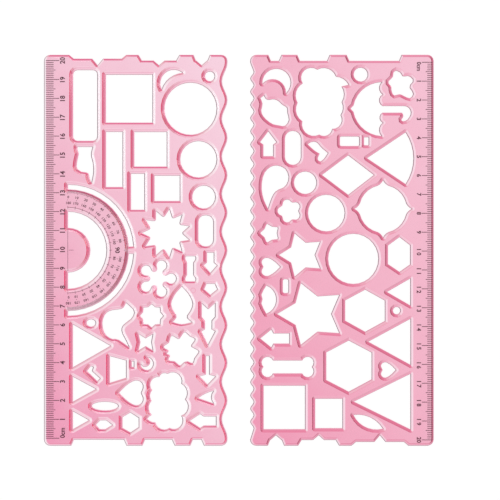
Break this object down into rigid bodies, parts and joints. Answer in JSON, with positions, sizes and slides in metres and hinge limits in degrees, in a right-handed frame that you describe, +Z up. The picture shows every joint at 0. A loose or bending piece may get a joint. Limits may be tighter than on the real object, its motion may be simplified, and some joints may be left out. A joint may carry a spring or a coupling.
{
  "type": "geometry template ruler",
  "caption": "Pair of flat transparent drawing templates, each with a ruled edge, bevelled shape cut-outs and a decorative free edge; one has a half-round protractor.",
  "frame": {"origin": "under the middle of the pair, on the surface that both templates lie on", "axes": "+Z up out of the drawing surface, +Y along the ruled edges towards the 20 cm end of the protractor template, +X from the protractor template towards the shapes template"},
  "size_m": [0.2066, 0.2074, 0.002],
  "materials": {
    "rose_plastic": "clear tinted moulded plastic, polished faces and bevels",
    "pink_plastic": "clear tinted moulded plastic, polished faces and bevels",
    "scale_ink": "thin grey printed scale ink"
  },
  "bodies": {
    "protractor_template": {"protractor_template": "rose_plastic"},
    "shapes_template": {"shapes_template": "pink_plastic"}
  },
  "joints": [
    {"name": "shapes_lift", "type": "slide", "parent": "protractor_template", "child": "shapes_template", "axis": [0, 0, 1], "range_m": [0, 0.05]}
  ]
}
